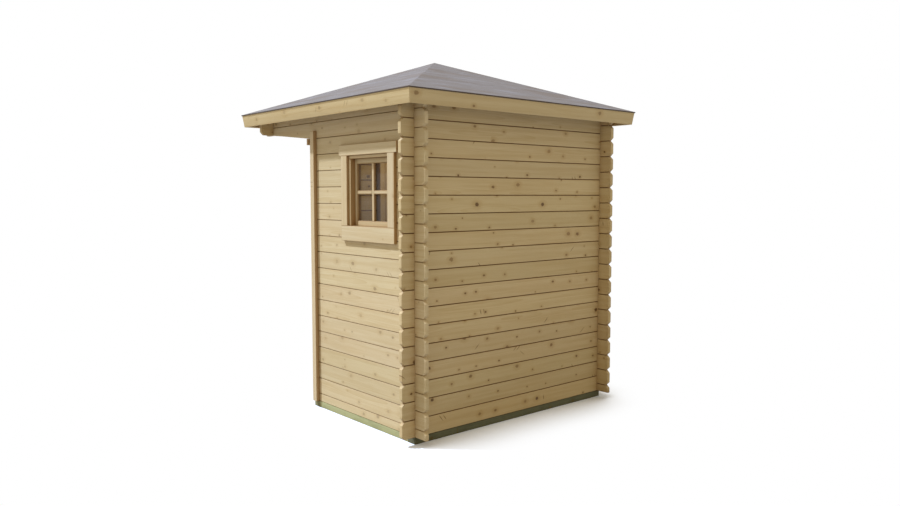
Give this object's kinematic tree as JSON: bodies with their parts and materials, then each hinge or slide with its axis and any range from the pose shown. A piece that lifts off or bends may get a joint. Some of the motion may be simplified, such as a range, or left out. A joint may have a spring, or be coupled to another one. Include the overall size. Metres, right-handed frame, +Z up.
{
  "type": "garden shed",
  "caption": "Log-built garden shed with crossed corners, a low pyramid roof over a front porch, a plank door and a side window with glazing bars",
  "frame": {"origin": "on the ground, under the peak of the roof", "axes": "+Z up, -Y out of the doorway, +X out of the side wall that has the window"},
  "size_m": [2.114, 2.114, 2.519],
  "materials": {
    "log_spruce": "planed, untreated",
    "planed_spruce": "planed, untreated",
    "fascia_spruce": "planed, untreated",
    "roof_timber": "planed, untreated",
    "treated_spruce": "pressure treated, sawn",
    "roofing_felt": "matt bitumen felt with fine streaks",
    "window_glass": "clear",
    "zinc_steel": "zinc plated"
  },
  "bodies": {
    "root": {"foundation_front": "treated_spruce", "foundation_rear": "treated_spruce", "foundation_left": "treated_spruce", "foundation_right": "treated_spruce", "rear_wall_even_logs": "log_spruce", "rear_wall_odd_logs": "log_spruce", "window_wall_even_logs": "log_spruce", "window_wall_odd_logs": "log_spruce", "left_wall_even_logs": "log_spruce", "left_wall_odd_logs": "log_spruce", "front_wall_even_logs": "log_spruce", "front_wall_odd_logs": "log_spruce", "porch_cross_log": "log_spruce", "front_corner_posts": "planed_spruce", "side_battens": "planed_spruce", "front_head_board": "planed_spruce", "door_frame": "planed_spruce", "door_stops": "planed_spruce", "door_boards": "planed_spruce", "door_ledges": "planed_spruce", "door_hinges": "zinc_steel", "door_handle": "zinc_steel", "window_frame": "planed_spruce", "window_sash": "planed_spruce", "window_glass": "window_glass", "window_head_casing": "planed_spruce", "window_side_casings": "planed_spruce", "window_apron": "planed_spruce", "king_block": "roof_timber", "hip_rafters": "roof_timber", "common_rafters": "roof_timber", "roof_boards_front": "roof_timber", "roof_boards_rear": "roof_timber", "roof_boards_left": "roof_timber", "roof_boards_right": "roof_timber", "roof_covering_front": "roofing_felt", "roof_covering_rear": "roofing_felt", "roof_covering_left": "roofing_felt", "roof_covering_right": "roofing_felt", "fascia_front": "fascia_spruce", "fascia_rear": "fascia_spruce", "fascia_left": "fascia_spruce", "fascia_right": "fascia_spruce"}
  },
  "joints": []
}
